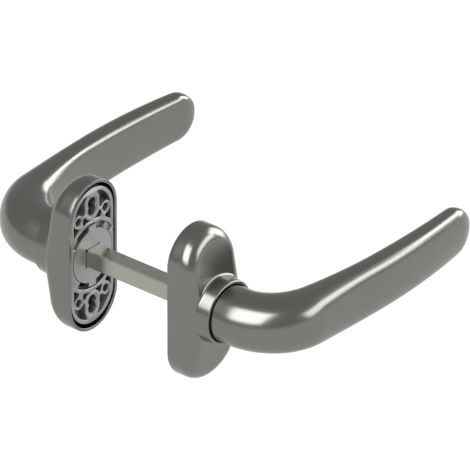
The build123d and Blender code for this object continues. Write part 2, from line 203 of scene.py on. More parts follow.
class Value:
    """A socket that takes part in sums, such as 1 - mask * 0.5."""

    def __init__(self, finish, socket):
        self.finish = finish
        self.socket = socket

    def sum(self, operation, first, second):
        return self.finish.node("ShaderNodeMath", {"operation": operation}, [first, second])

    def __add__(self, other):
        return self.sum("ADD", self, other)

    def __radd__(self, other):
        return self.sum("ADD", other, self)

    def __sub__(self, other):
        return self.sum("SUBTRACT", self, other)

    def __rsub__(self, other):
        return self.sum("SUBTRACT", other, self)

    def __mul__(self, other):
        return self.sum("MULTIPLY", self, other)

    def __rmul__(self, other):
        return self.sum("MULTIPLY", other, self)


class Finish:
    """One material: a Principled shader, and the nodes that vary it over the surface."""

    def __init__(self, name, tint, **constants):
        self.material = bpy.data.materials.new(name)
        self.material.use_nodes = True
        self.tree = self.material.node_tree
        self.shader = self.tree.nodes["Principled BSDF"]
        self.tint = (*tint, 1)
        self.material.diffuse_color = self.tint
        self.shader.inputs["Base Color"].default_value = self.tint
        for socket, value in constants.items():
            self.shader.inputs[socket.replace("_", " ").title()].default_value = value
        self.place = self.node("ShaderNodeTexCoord", output="Object")

    def node(self, kind, settings=None, inputs=None, output=0):
        """Adds a node. Settings come first, then values or links for its sockets, by order or by name."""
        made = self.tree.nodes.new(kind)
        for setting, value in (settings or {}).items():
            setattr(made, setting, value)
        sockets = [s for s in made.inputs if s.enabled]
        pairs = inputs.items() if isinstance(inputs, dict) else enumerate(inputs or [])
        for key, value in pairs:
            socket = sockets[key] if isinstance(key, int) else next(s for s in sockets if s.name == key)
            self.feed(socket, value)
        outputs = [s for s in made.outputs if s.enabled]
        return Value(self, outputs[output] if isinstance(output, int) else made.outputs[output])

    def feed(self, socket, value):
        if isinstance(value, Value):
            self.tree.links.new(value.socket, socket)
        else:
            socket.default_value = value

    def noise(self, per_millimetre, detail=2.0, stretch=(1, 1, 1)):
        """Noise in the object's own space, with so many grains to a millimetre."""
        place = self.node("ShaderNodeVectorMath", {"operation": "MULTIPLY"}, [self.place, stretch])
        return self.node("ShaderNodeTexNoise", None,
                         {"Vector": place, "Scale": per_millimetre / MM, "Detail": detail, "Roughness": 0.5})

    def depth(self, start, end):
        """Rises from 0 to 1 between two distances along Y from the middle of the door."""
        across = self.node("ShaderNodeSeparateXYZ", None, [self.place], output=1)
        away = self.node("ShaderNodeMath", {"operation": "ABSOLUTE"}, [across])
        return self.node("ShaderNodeMapRange", None, [away, start, end, 0.0, 1.0])

    def shade(self, factor, darker, lighter):
        """The tint between two strengths, by a factor from 0 to 1."""
        low = tuple(c * darker for c in self.tint[:3]) + (1,)
        high = tuple(min(1, c * lighter) for c in self.tint[:3]) + (1,)
        return self.node("ShaderNodeMix", {"data_type": "RGBA"}, {"Factor": factor, "A": low, "B": high},
                         output="Result")

    def vary(self, socket, value):
        self.feed(self.shader.inputs[socket], value)

    def bump(self, height, depth):
        """Relief of a given depth in millimetres."""
        relief = self.node("ShaderNodeBump", None,
                           {"Strength": 1.0, "Distance": depth * MM, "Height": height})
        self.vary("Normal", relief)


def titanium_satin():
    finish = Finish("titanium_satin_finish", tints().titanium, metallic=1.0, roughness=0.28)
    cloud = finish.noise(0.06, 3)
    grain = finish.noise(4.0, 2)
    flow = finish.noise(0.9, 3, (0.12, 1, 1))
    finish.vary("Base Color", finish.shade(cloud * 0.6 + grain * 0.4, 0.93, 1.07))
    finish.vary("Roughness", 0.20 + cloud * 0.05 + flow * 0.02)
    finish.bump(grain + flow * 0.5, 0.001)
    return finish.material


def zinc_casting():
    finish = Finish("zinc_casting_finish", tints().zinc, metallic=1.0, roughness=0.5)
    cloud = finish.noise(0.2, 3)
    grain = finish.noise(6.0, 3)
    # Painted shade: the colour is darkened deep in the pockets, past 3.3 mm from the door face, where shade
    # falls
    pocket_shade = finish.depth(DOOR_FACE + 3.3 * MM, DOOR_FACE + 3.7 * MM)
    tone_and_pocket_shade = cloud * 0.5 + grain * 0.5 - pocket_shade * (0.8 + grain * 1.6)
    # Random tone from the noise, less the painted shade in the pockets
    finish.vary("Base Color", finish.shade(tone_and_pocket_shade, 0.88, 1.10))
    finish.vary("Roughness", 0.42 + grain * 0.16)
    finish.bump(grain, 0.01)
    return finish.material


def spindle_steel():
    finish = Finish("spindle_steel_finish", tints().steel, metallic=1.0, roughness=0.4)
    drawn = finish.noise(5.0, 3, (1, 0.02, 1))
    cloud = finish.noise(0.15, 3)
    finish.vary("Base Color", finish.shade(drawn * 0.6 + cloud * 0.4, 0.88, 1.08))
    finish.vary("Roughness", 0.19 + drawn * 0.10)
    finish.bump(drawn, 0.0015)
    return finish.material


def spring_steel():
    finish = Finish("spring_steel_finish", tints().spring, metallic=1.0, roughness=0.35)
    film = finish.noise(0.8, 3)
    finish.vary("Base Color", finish.shade(film, 0.75, 1.1))
    finish.vary("Roughness", 0.28 + film * 0.2)
    return finish.material


def black_nylon():
    finish = Finish("black_nylon_finish", tints().nylon, roughness=0.5)
    grain = finish.noise(5.0, 2)
    finish.vary("Base Color", finish.shade(grain, 0.8, 1.4))
    finish.vary("Roughness", 0.42 + grain * 0.16)
    finish.bump(grain, 0.01)
    return finish.material


def grub_steel():
    finish = Finish("grub_steel_finish", tints().grub, metallic=1.0, roughness=0.45)
    film = finish.noise(1.5, 3)
    finish.vary("Base Color", finish.shade(film, 0.7, 1.5))
    finish.vary("Roughness", 0.38 + film * 0.15)
    return finish.material


FINISHES = {"titanium_satin": titanium_satin, "zinc_casting": zinc_casting, "spindle_steel": spindle_steel,
            "spring_steel": spring_steel, "black_nylon": black_nylon, "grub_steel": grub_steel}
made_finishes = {}


# Helpers

def tints():
    return bpy.context.scene.handle_colours


def material(slot):
    """The material of a slot, made the first time it is asked for."""
    if slot not in made_finishes:
        made_finishes[slot] = FINISHES[slot]()
    return made_finishes[slot]


def add_piece(name, vertices, faces, slot, body, node, layered=False):
    """Adds a smooth mesh that stands for a node of the frame. A layered one has its faces turned already."""
    mesh = bpy.data.meshes.new(name)
    mesh.from_pydata([tuple(v) for v in vertices], [], faces)
    if not layered:
        build = bmesh.new()
        build.from_mesh(mesh)
        bmesh.ops.recalc_face_normals(build, faces=build.faces)
        build.to_mesh(mesh)
        build.free()
    mesh.shade_smooth()
    mesh.materials.append(material(slot))
    piece = bpy.data.objects.new(name, mesh)
    bpy.context.scene.collection.objects.link(piece)
    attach(piece, body)
    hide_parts(node)
    return piece


def dress(node, slot):
    """Gives a node of the frame its material."""
    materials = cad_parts[node].data.materials
    materials.clear()
    materials.append(material(slot))


def bridge(first, second, around):
    """Quads between two closed rings of vertex numbers that start at first and second."""
    neighbours = [(i, (i + 1) % around) for i in range(around)]
    return [(first + i, first + j, second + j, second + i) for i, j in neighbours]


# Lever

def section_point(sizes, thickness, height, fullness, turn):
    """Point on a lever's section, at a turn from 0 to 1 round it: (towards the door, up)."""
    quarter = int(turn * 4) % 4
    t = turn * 4 - int(turn * 4)
    a, b = thickness / 2, height / 2
    inner = quarter in (0, 3)
    if quarter in (1, 3):
        t = 1 - t
    squareness = sizes.inner_squareness if inner else sizes.outer_squareness
    pull = ROUND_PULL + (squareness - ROUND_PULL) * fullness
    x = a * ((1 - t) ** 3 + 3 * (1 - t) ** 2 * t) + a * pull * 3 * (1 - t) * t * t
    y = b * pull * 3 * (1 - t) ** 2 * t + b * (3 * (1 - t) * t * t + t ** 3)
    return (x if inner else -x, y if quarter in (0, 1) else -y)


def grip_size(sizes, along):
    extra = (sizes.bend_thickness - sizes.grip_thickness) * max(0, 1 - along / sizes.bend_fade) ** 2
    thickness = sizes.grip_thickness - sizes.tip_thinning * along ** 3 + extra
    return thickness, sizes.grip_height - (sizes.grip_height - sizes.tip_height) * along ** 2


def lever_stations(sizes):
    """Stations along the lever: x, distance from the door face, heading, thickness, height, fullness."""
    stations = []
    start_x = sizes.bend_radius * (1 - math.sin(sizes.out_angle))
    start_out = sizes.neck_end + sizes.bend_radius * math.cos(sizes.out_angle)
    grip_length = sizes.reach - start_x
    bend_turn = math.pi / 2 - sizes.out_angle
    slope = (-2 * (sizes.bend_thickness - sizes.grip_thickness) / sizes.bend_fade
             * sizes.bend_radius * bend_turn / grip_length)
    first_thickness, first_height = grip_size(sizes, 0)
    bend_steps = 48
    for i in range(bend_steps + 1):
        along = i / bend_steps
        ease = along ** 2 * (3 - 2 * along)
        heading = math.pi / 2 - bend_turn * along
        thickness = 2 * sizes.neck_radius + (first_thickness - 2 * sizes.neck_radius) * ease
        height = 2 * sizes.neck_radius + (first_height - 2 * sizes.neck_radius) * ease
        stations.append((sizes.bend_radius * (1 - math.sin(heading)),
                         sizes.neck_end + sizes.bend_radius * math.cos(heading), heading,
                         thickness + slope * (along ** 3 - along ** 2), height, sizes.bend_squareness * ease))
    turn = -sizes.in_angle - sizes.out_angle

    def grip_place(along):
        heading = sizes.out_angle + turn * along
        bow = (math.log(math.cos(sizes.out_angle)) - math.log(math.cos(heading))) / turn
        return start_x + grip_length * along, start_out + grip_length * bow, heading

    grip_steps = 110
    straight = 1 - sizes.tip_length / grip_length
    for i in range(1, grip_steps + 1):
        along = straight * i / grip_steps
        stations.append((*grip_place(along), *grip_size(sizes, along), min(1, sizes.bend_squareness + along)))
    tip_steps = 24
    tip_turn = math.radians(88)  # short of a right angle, so that the last ring keeps some size
    for i in range(1, tip_steps + 1):
        bend = tip_turn * i / tip_steps
        along = straight + (1 - straight) * math.sin(bend)
        loss = 1 - math.cos(bend)
        thickness, height = grip_size(sizes, along)
        stations.append((*grip_place(along), thickness - 2 * sizes.tip_edge * loss, height * (1 - loss), 1))
    return stations


def lever_mesh(sizes, side):
    around = 96
    vertices, faces = [], []

    def add_ring(points):
        vertices.extend(points)
        return len(vertices) - around

    def disc_ring(radius, out):
        y = side * (DOOR_FACE + out)
        turns = [2 * math.pi * i / around for i in range(around)]
        return add_ring([(radius * math.cos(t), y, radius * math.sin(t)) for t in turns])

    def square_ring(size, out):
        points = []
        for i in range(around):
            t = 2 * math.pi * i / around
            reach = size / 2 / max(abs(math.cos(t)), abs(math.sin(t)))
            points.append((reach * math.cos(t), side * (DOOR_FACE + out), reach * math.sin(t)))
        return add_ring(points)

    soft = 0.3 * MM
    rings = [square_ring(sizes.socket, sizes.socket_end), square_ring(sizes.socket, sizes.hub_end)]
    hub, neck = sizes.hub_radius, sizes.neck_radius
    for radius, out in ((hub - soft, sizes.hub_end), (hub, sizes.hub_end - soft),
                        (hub, sizes.neck_start + soft), (hub + soft, sizes.neck_start),
                        (neck - soft, sizes.neck_start), (neck, sizes.neck_start + soft)):
        rings.append(disc_ring(radius, out))
    neck_steps = 12
    for i in range(1, neck_steps):
        out = sizes.neck_start + soft + (sizes.neck_end - sizes.neck_start - soft) * i / neck_steps
        rings.append(disc_ring(sizes.neck_radius, out))
    for x, out, heading, *section in lever_stations(sizes):
        points = []
        for i in range(around):
            across, up = section_point(sizes, *section, i / around)
            y = side * (DOOR_FACE + out - across * math.cos(heading))
            points.append((x + across * math.sin(heading), y, up))
        rings.append(add_ring(points))
    for first, second in zip(rings, rings[1:]):
        faces += bridge(first, second, around)
    faces.append(tuple(range(rings[0], rings[0] + around)))
    faces.append(tuple(range(rings[-1], rings[-1] + around)))
    return vertices, faces


def cut_grub_hole(piece, sizes, side):
    """Cuts the grub screw's hole up through the underside of the neck."""
    around = 48
    spare = 2 * MM
    top, bottom = -SPINDLE_HALF, -sizes.neck_radius - spare
    points = []
    for z in (top, bottom):
        for i in range(around):
            t = 2 * math.pi * i / around
            points.append((sizes.grub_radius * math.cos(t),
                           side * (DOOR_FACE + sizes.grub_place) + sizes.grub_radius * math.sin(t), z))
    faces = bridge(0, around, around)
    faces += [tuple(range(around)), tuple(reversed(range(around, 2 * around)))]
    mesh = bpy.data.meshes.new("grub_hole")
    mesh.from_pydata(points, [], faces)
    drill = bpy.data.objects.new("grub_hole", mesh)
    bpy.context.scene.collection.objects.link(drill)
    cut = piece.modifiers.new("grub_hole", "BOOLEAN")
    cut.object = drill
    cut.solver = "EXACT"
    bpy.context.view_layer.update()
    shaped = bpy.data.meshes.new_from_object(piece.evaluated_get(bpy.context.evaluated_depsgraph_get()))
    piece.modifiers.clear()
    piece.data = shaped
    bpy.data.objects.remove(drill)
    piece.data.set_sharp_from_angle(angle=LEVER_CREASE)


# Rose cover

def rose_outline(sizes, steps):
    """Points evenly spaced round the rose, each with the direction outward: (x, z, nx, nz)."""
    radius = sizes.width / 2
    straight = sizes.height - sizes.width
    total = 2 * straight + 2 * math.pi * radius
    points = []
    for i in range(steps):
        run = total * i / steps
        if run < straight / 2:
            points.append((radius, run, 1, 0))
            continue
        run -= straight / 2
        if run < math.pi * radius:
            nx, nz = math.cos(run / radius), math.sin(run / radius)
            points.append((radius * nx, straight / 2 + radius * nz, nx, nz))
            continue
        run -= math.pi * radius
        if run < straight:
            points.append((-radius, straight / 2 - run, -1, 0))
            continue
        run -= straight
        if run < math.pi * radius:
            nx, nz = math.cos(math.pi + run / radius), math.sin(math.pi + run / radius)
            points.append((radius * nx, -straight / 2 + radius * nz, nx, nz))
            continue
        points.append((radius, -straight / 2 + run - math.pi * radius, 1, 0))
    return points


def roof_height(sizes, z):
    if abs(z) < sizes.ridge_radius * math.sin(sizes.roof_slope):
        return (sizes.ridge_depth - sizes.ridge_radius / math.cos(sizes.roof_slope)
                + math.sqrt(sizes.ridge_radius ** 2 - z * z))
    return sizes.ridge_depth - abs(z) * math.tan(sizes.roof_slope)


def rose_height_at(sizes, x, z):
    """Height of the outer surface, with the edge rounded over."""
    past = max(0, abs(z) - (sizes.height - sizes.width) / 2)
    inset = sizes.width / 2 - math.hypot(x, past)
    lost = sizes.edge_radius - min(max(inset, 0), sizes.edge_radius)
    return roof_height(sizes, z) - sizes.edge_radius + math.sqrt(sizes.edge_radius ** 2 - lost ** 2)


def under_height_at(sizes, x, z):
    """Height of the cover's inside, with its own edge rounded."""
    radius = sizes.edge_radius - sizes.wall
    past = max(0, abs(z) - (sizes.height - sizes.width) / 2)
    inset = sizes.width / 2 - sizes.wall - math.hypot(x, past)
    lost = radius - min(max(inset, 0), radius)
    under = sizes.ridge_depth - sizes.wall / math.cos(sizes.roof_slope) - abs(z) * math.tan(sizes.roof_slope)
    return min(sizes.land_depth, under) - radius + math.sqrt(radius ** 2 - lost ** 2)


def rose_column(sizes, x, z, nx, nz):
    """Points in one direction from the axis, from the collar's bore over the outside and back inside."""
    reach = math.hypot(x, z)
    ux, uz = x / reach, z / reach
    column = []
    small = sizes.rim_radius
    hair = 0.02 * MM  # keeps the rings at a sharp corner apart
    foot_samples = 200
    roof_steps = 6
    edge_steps = 26
    under_steps = 12

    def radial(radius, depth):
        column.append((radius * ux, radius * uz, depth))

    def on_roof(radius):
        radial(radius, rose_height_at(sizes, radius * ux, radius * uz))

    def arc(radius, depth, size, start, end, steps):
        for i in range(steps + 1):
            t = math.radians(start + (end - start) * i / steps)
            radial(radius + size * math.cos(t), depth + size * math.sin(t))

    def inset(distance, depth):
        column.append((x - distance * nx, z - distance * nz, depth))

    bore, top = sizes.collar_bore, sizes.collar_depth
    radial(bore, sizes.land_depth + small)
    radial(bore, sizes.mouth_start)
    radial(sizes.mouth_bore, sizes.mouth_start + hair)
    radial(sizes.mouth_bore, top - 2 * small)
    arc(sizes.mouth_bore + small, top - small, small, 180, 90, 4)
    radial(sizes.mouth_bore + small + 2.5 * hair, top)
    radial(sizes.collar_radius - sizes.lip_radius - 1.5 * hair, top)
    arc(sizes.collar_radius - sizes.lip_radius, top - sizes.lip_radius, sizes.lip_radius, 90, 0, 8)
    # The hollow at the foot is a circle that rests on the roof
    foot = sizes.foot_radius
    base = sizes.collar_radius + sizes.collar_flare
    centre = base + foot
    samples = [base + (min(reach, centre + foot) - base) * i / foot_samples for i in range(foot_samples)]
    rests = []
    for radius in samples:
        height = rose_height_at(sizes, radius * ux, radius * uz)
        rests.append((height + math.sqrt(max(0, foot ** 2 - (radius - centre) ** 2)), radius, height))
    lift, touch, touch_height = max(rests)
    wall_top = top - sizes.lip_radius
    for part in (0.03, 0.5, 0.97):
        radial(sizes.collar_radius + sizes.collar_flare * part, wall_top + (lift - wall_top) * part)
    end = math.degrees(math.atan2(touch_height - lift, touch - centre)) % 360
    arc(centre, lift, foot, 180, end, 6)
    # The roof and its rounded edge, spaced so that the edge gets its share of rings
    inner = max(touch, reach - 6 * sizes.edge_radius)
    if inner > touch:
        for i in range(1, roof_steps):
            on_roof(touch + (inner - touch) * i / roof_steps)
    else:
        for i in range(1, roof_steps):
            inner = touch + (reach - touch) * 0.01 * i
            on_roof(inner)
    for i in range(1, edge_steps + 1):
        on_roof(inner + (reach - inner) * math.sin(math.pi / 2 * i / edge_steps))
    shoulder = roof_height(sizes, z) - sizes.edge_radius
    for part in (0.04, 0.35, 0.7):
        inset(0, shoulder * (1 - part) + 2 * small * part)
    for t in (0, 30, 60, 90):
        inset(small * (1 - math.cos(math.radians(t))), small * (1 - math.sin(math.radians(t))))
    for t in (90, 60, 30, 0):
        inset(sizes.wall - small * (1 - math.cos(math.radians(t))), small * (1 - math.sin(math.radians(t))))
    # Inside: the wall, then the roof's underside in to the round land under the collar
    wall_x, wall_z = x - sizes.wall * nx, z - sizes.wall * nz
    wall_reach = math.hypot(wall_x, wall_z)
    wx, wz = wall_x / wall_reach, wall_z / wall_reach
    wall_end = under_height_at(sizes, wall_x, wall_z)
    for part in (0.3, 0.97):
        inset(sizes.wall, wall_end * part)
    for i in range(1, under_steps + 1):
        part = 1 - math.cos(math.pi / 2 * i / under_steps)
        radius = wall_reach + (sizes.land_radius - wall_reach) * part
        px = radius * (wx + (ux - wx) * part)
        pz = radius * (wz + (uz - wz) * part)
        column.append((px, pz, under_height_at(sizes, px, pz)))
    radial(sizes.land_radius - hair, sizes.land_depth)
    radial(bore + small, sizes.land_depth)
    return column


def rose_mesh(sizes, side):
    around = 384
    columns = [rose_column(sizes, *point) for point in rose_outline(sizes, around)]
    rows = len(columns[0])
    vertices = []
    for row in range(rows):
        for column in columns:
            x, z, depth = column[row]
            vertices.append((x, side * (DOOR_FACE + depth), z))
    faces = []
    for row in range(rows):
        faces += bridge(row * around, (row + 1) % rows * around, around)
    return vertices, faces


# Fixing plate, drawn in layers from the distance to each feature's edge: below 0 is inside the feature

def round_hole(u, v, x, z, radius):
    return np.hypot(u - x, v - z) - radius


def bar(u, v, start, end, half):
    """A straight web between two points, with round ends."""
    along = np.subtract(end, start)
    t = np.clip(((u - start[0]) * along[0] + (v - start[1]) * along[1]) / (along @ along), 0, 1)
    return np.hypot(u - start[0] - t * along[0], v - start[1] - t * along[1]) - half


def sector(u, v, radius, middle, half):
    """A slice of a disc, by the direction of its middle and its half angle."""
    reach = np.hypot(u, v)
    turn = np.abs((np.arctan2(v, u) - middle + math.pi) % (2 * math.pi) - math.pi)
    return np.maximum(reach - radius, (turn - half) * reach)


def joined(first, second, fillet):
    """Two features as one, with a fillet where they meet."""
    blend = np.maximum(fillet - np.abs(first - second), 0) / fillet
    return np.minimum(first, second) - blend * blend * fillet / 4


def plate_openwork(sizes, u, v):
    """Distances to the plate's outline, and to the webs between its pockets and triangles."""
    up = np.abs(v)
    fillet = 0.5 * MM
    arm_end = 0.7  # share of the dowel's distance at which its arm ends, inside the round web
    outline = np.hypot(u, np.maximum(up - (sizes.height - sizes.width) / 2, 0)) - sizes.width / 2
    webs = joined(round_hole(u, up, 0, sizes.screw_far, sizes.screw_boss),
                  round_hole(u, up, 0, sizes.screw_near, sizes.screw_boss), fillet)
    webs = joined(webs, np.hypot(u, v) - sizes.web_radius, fillet)
    webs = joined(webs, bar(u, up, (0, sizes.screw_far), (0, sizes.height / 2), sizes.crown_half), fillet)
    for x in (-sizes.dowel_x, sizes.dowel_x):
        dowel = (x, sizes.dowel_z)
        inward = (arm_end * x, arm_end * sizes.dowel_z)
        webs = joined(webs, round_hole(u, up, *dowel, sizes.dowel_boss), fillet)
        webs = joined(webs, bar(u, up, dowel, inward, sizes.arm_half), fillet)
        webs = joined(webs, bar(u, up, dowel, (0, sizes.screw_near), sizes.tie_half), fillet)
    webs = joined(webs, -sizes.ring - outline, fillet)
    return outline, webs


def plate_region(sizes, side, depth, u, v):
    """Distance to the edge of the plate's solid at one depth from the door face, below 0 inside it."""
    up = np.abs(v)
    reach = np.hypot(u, v)
    outline, webs = plate_openwork(sizes, u, v)
    top, bottom = math.pi / 2, -math.pi / 2
    if depth > sizes.face + sizes.relief_depth:
        for x in (-sizes.nub_x, sizes.nub_x):
            outline = np.minimum(outline, round_hole(u, up, x, sizes.nub_z, sizes.nub_radius))
    if depth > sizes.pocket_floor:
        webs = np.minimum(webs, sizes.pocket_start - up)
    solid = np.maximum(outline, webs)
    wider = sizes.step_width if depth < sizes.face + sizes.step_depth else 0
    screw, dowel = sizes.screw_radius + wider, sizes.dowel_radius + wider
    holes = [round_hole(u, up, 0, z, screw) for z in (sizes.screw_far, sizes.screw_near)]
    holes += [round_hole(u, up, x, sizes.dowel_z, dowel) for x in (-sizes.dowel_x, sizes.dowel_x)]
    if depth > sizes.floor:
        ledge = 0.3 * MM
        ledge_angle = math.radians(1)
        half = sizes.window_angle - ledge_angle
        lower = sector(u, v, sizes.window_radius - ledge, bottom, half)
        upper = sector(u, v, sizes.window_radius - ledge, top + side * sizes.window_angle / 2, half / 2)
        ring = sizes.seat_radius - ledge - reach
        holes += [reach - sizes.bore, np.maximum(lower, ring), np.maximum(upper, ring)]
    else:
        upper_half = sizes.relief_angle if depth < sizes.face + sizes.relief_depth else sizes.window_angle
        holes.append(reach - sizes.seat_radius)
        holes.append(sector(u, v, sizes.window_radius, top, upper_half))
        holes.append(sector(u, v, sizes.window_radius, bottom, sizes.window_angle))
    for hole in holes:
        solid = np.maximum(solid, -hole)
    return solid


def outline_loops(field, u, v):
    """Closed loops along the zero line of a field over a grid, each with the solid on its left."""
    shortest = 8  # points in a loop, below which it is only a speck
    inside = field < 0
    corners = [inside[:-1, :-1], inside[:-1, 1:], inside[1:, 1:], inside[1:, :-1]]
    mixed = np.argwhere(sum(c.astype(int) for c in corners) % 4)
    following = {}
    for i, j in mixed.tolist():
        ring = [(i, j), (i, j + 1), (i + 1, j + 1), (i + 1, j)]
        states = [bool(inside[c]) for c in ring]
        leaving = [k for k in range(4) if states[k] and not states[(k + 1) % 4]]
        entering = [k for k in range(4) if not states[k] and states[(k + 1) % 4]]
        for k in leaving:
            back = min(entering, key=lambda e: (k - e) % 4)
            crossed, next_crossed = (tuple(sorted((ring[e], ring[(e + 1) % 4]))) for e in (k, back))
            following[crossed] = next_crossed
    loops = []
    while following:
        start = next(iter(following))
        loop, at = [], start
        while at in following:
            (i, j), (m, n) = at
            first, second = field[i, j], field[m, n]
            t = first / (first - second)
            loop.append((u[j] + (u[n] - u[j]) * t, v[i] + (v[m] - v[i]) * t))
            at = following.pop(at)
        if len(loop) > shortest:
            loops.append(np.array(loop))
    return loops


def grid_line(half, step):
    """Even steps across the plate, with a margin at both ends."""
    margin = 4.5
    return np.arange(-half - margin * step, half + (margin + 0.5) * step, step)


def plate_layer(sizes, side, top, bottom, edge, closed):
    """One layer of the plate: its face, its walls, and its back if it is the last."""
    step, nudge = 0.2 * MM, 0.02 * MM
    least_slope = 1e-9
    middle = (top + bottom) / 2

    def distance(x, z):
        return plate_region(sizes, side, middle, x, z)

    u, v = grid_line(sizes.width / 2, step), grid_line(sizes.height / 2, step)
    loops = outline_loops(distance(*np.meshgrid(u, v)), u, v)
    vertices, faces, starts, insets = [], [], [], []
    for loop in loops:
        x, z = loop.T
        slope = [distance(x + nudge, z) - distance(x - nudge, z),
                 distance(x, z + nudge) - distance(x, z - nudge)]
        inset = loop - edge * (np.array(slope) / np.maximum(np.hypot(*slope), least_slope)).T
        rings = [(inset, top), (loop, top + edge), (loop, bottom)] if edge else [(loop, top), (loop, bottom)]
        starts.append(len(vertices))
        insets.append(inset)
        count = len(loop)
        for points, depth in rings:
            vertices += [(a, side * (DOOR_FACE + depth), b) for a, b in points.tolist()]
        for row in range(len(rings) - 1):
            start = starts[-1] + row * count
            faces += [face[::-1] for face in bridge(start, start + count, count)]
    fill(faces, vertices, insets, starts, True)
    if closed:
        rows = 2 if edge else 1
        fill(faces, vertices, loops, [s + rows * len(loop) for s, loop in zip(starts, loops)], False)
    return vertices, [face if side > 0 else face[::-1] for face in faces]


def fill(faces, vertices, loops, offsets, towards_door):
    """Fills loops, holes included, with triangles that face one way."""
    numbers = [offset + i for loop, offset in zip(loops, offsets) for i in range(len(loop))]
    for triangle in tessellate_polygon([[Vector((a, b, 0)) for a, b in loop.tolist()] for loop in loops]):
        a, b, c = (numbers[i] for i in triangle)
        (ax, _, az), (bx, _, bz), (cx, _, cz) = vertices[a], vertices[b], vertices[c]
        left = (bx - ax) * (cz - az) - (bz - az) * (cx - ax) > 0
        faces.append((a, b, c) if left == towards_door else (a, c, b))


def plate_mesh(sizes, side):
    """The plate as a stack of layers, with the hub and the post set on its back."""
    vertices, faces = [], []

    def add(more_vertices, more_faces):
        start = len(vertices)
        vertices.extend(more_vertices)
        faces.extend(tuple(start + i for i in face) for face in more_faces)

    depths = [sizes.face, sizes.face + sizes.step_depth, sizes.face + sizes.relief_depth, sizes.floor,
              sizes.pocket_floor, sizes.back]
    for number, (top, bottom) in enumerate(zip(depths, depths[1:])):
        add(*plate_layer(sizes, side, top, bottom, 0 if number else sizes.edge, bottom == depths[-1]))
    around = 96
    rings = [(sizes.hub_radius, sizes.back), (sizes.hub_radius, sizes.hub_end), (sizes.bore, sizes.hub_end),
             (sizes.bore, sizes.back)]
    turns = [2 * math.pi * i / around for i in range(around)]
    points = [(r * math.cos(t), side * (DOOR_FACE + d), r * math.sin(t)) for r, d in rings for t in turns]
    walls = [face for k in range(3) for face in bridge(k * around, (k + 1) * around, around)]
    add(points, [face[::-1] if side > 0 else face for face in walls])
    # Known fault: the solid's post lies further out, from 14.9 to 16.45 mm, clear of coil and finger
    half, low, high = sizes.post_half, -sizes.post_reach, -sizes.hub_radius
    corners = [(x, side * (DOOR_FACE + d), z) for d in (sizes.back, sizes.hub_end)
               for x, z in ((-half, low), (half, low), (half, high), (-half, high))]
    sides = [(0, 1, 5, 4), (1, 2, 6, 5), (2, 3, 7, 6), (3, 0, 4, 7), (4, 5, 6, 7)]
    add(corners, [face[::-1] if side > 0 else face for face in sides])
    return vertices, faces


# Spindle

def spindle_mesh(sizes):
    low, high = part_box("spindle")
    half, corner, end = SPINDLE_HALF, sizes.corner, sizes.end
    vertices = []
    for y, inset in ((low.y, end), (low.y + end, 0), (high.y - end, 0), (high.y, end)):
        a, b = half - inset, half - corner
        for x, z in ((a, b), (b, a), (-b, a), (-a, b), (-a, -b), (-b, -a), (b, -a), (a, -b)):
            vertices.append((x, y, z))
    around = 8
    faces = [tuple(range(around)), tuple(range(3 * around, 4 * around))]
    for ring in range(3):
        faces += bridge(ring * around, (ring + 1) * around, around)
    return vertices, faces


# Operators

class HANDLE_OT_levers(bpy.types.Operator):
    """Adds both levers: round neck, bend, bowed grip and rounded end"""
    bl_idname = "handle.levers"
    bl_label = "Levers"

    def execute(self, context):
        sizes = context.scene.handle_lever
        for place, side in SIDES.items():
            piece = add_piece(f"lever_{place}", *lever_mesh(sizes, side), "titanium_satin", "levers",
                              f"{place}_lever")
            cut_grub_hole(piece, sizes, side)
        return {"FINISHED"}


class HANDLE_OT_rose_covers(bpy.types.Operator):
    """Adds both rose covers: shell with a shallow roof, rounded edge and collar"""
    bl_idname = "handle.rose_covers"
    bl_label = "Rose covers"

    def execute(self, context):
        sizes = context.scene.handle_rose
        for place, side in SIDES.items():
            add_piece(f"rose_cover_{place}", *rose_mesh(sizes, side), "titanium_satin", "roses",
                      f"{place}_rose_cover")
        return {"FINISHED"}


class HANDLE_OT_fixing_plates(bpy.types.Operator):
    """Adds both fixing plates: openwork castings with thin rounded webs"""
    bl_idname = "handle.fixing_plates"
    bl_label = "Fixing plates"

    def execute(self, context):
        sizes = context.scene.handle_plate
        for place, side in SIDES.items():
            piece = add_piece(f"fixing_plate_{place}", *plate_mesh(sizes, side), "zinc_casting", "roses",
                              f"{place}_fixing_plate", layered=True)
            piece.data.set_sharp_from_angle(angle=PLATE_CREASE)
        return {"FINISHED"}


class HANDLE_OT_drivers(bpy.types.Operator):
    """Finishes both drivers as bare zinc castings"""
    bl_idname = "handle.drivers"
    bl_label = "Drivers"

    def execute(self, context):
        for place in SIDES:
            dress(f"{place}_driver", "zinc_casting")
        return {"FINISHED"}


class HANDLE_OT_spindle(bpy.types.Operator):
    """Adds the spindle: drawn square bar with its corners broken"""
    bl_idname = "handle.spindle"
    bl_label = "Spindle"

    def execute(self, context):
        sizes = context.scene.handle_spindle
        piece = add_piece("spindle_bar", *spindle_mesh(sizes), "spindle_steel", "levers", "spindle")
        piece.data.shade_flat()
        return {"FINISHED"}


class HANDLE_OT_bearings(bpy.types.Operator):
    """Finishes the bushes and washers that the levers turn in"""
    bl_idname = "handle.bearings"
    bl_label = "Bushes and washers"

    def execute(self, context):
        for place in SIDES:
            dress(f"{place}_neck_bush", "black_nylon")
            dress(f"{place}_slide_washer", "black_nylon")
            dress(f"{place}_thrust_washer", "spring_steel")
        return {"FINISHED"}


class HANDLE_OT_springs(bpy.types.Operator):
    """Finishes the return springs and the wire retaining rings"""
    bl_idname = "handle.springs"
    bl_label = "Springs and rings"

    def execute(self, context):
        for place in SIDES:
            dress(f"{place}_return_spring", "spring_steel")
            dress(f"{place}_retaining_ring", "spring_steel")
        return {"FINISHED"}


class HANDLE_OT_grub_screws(bpy.types.Operator):
    """Finishes the grub screws below the necks"""
    bl_idname = "handle.grub_screws"
    bl_label = "Grub screws"

    def execute(self, context):
        for place in SIDES:
            dress(f"{place}_grub_screw", "grub_steel")
        return {"FINISHED"}


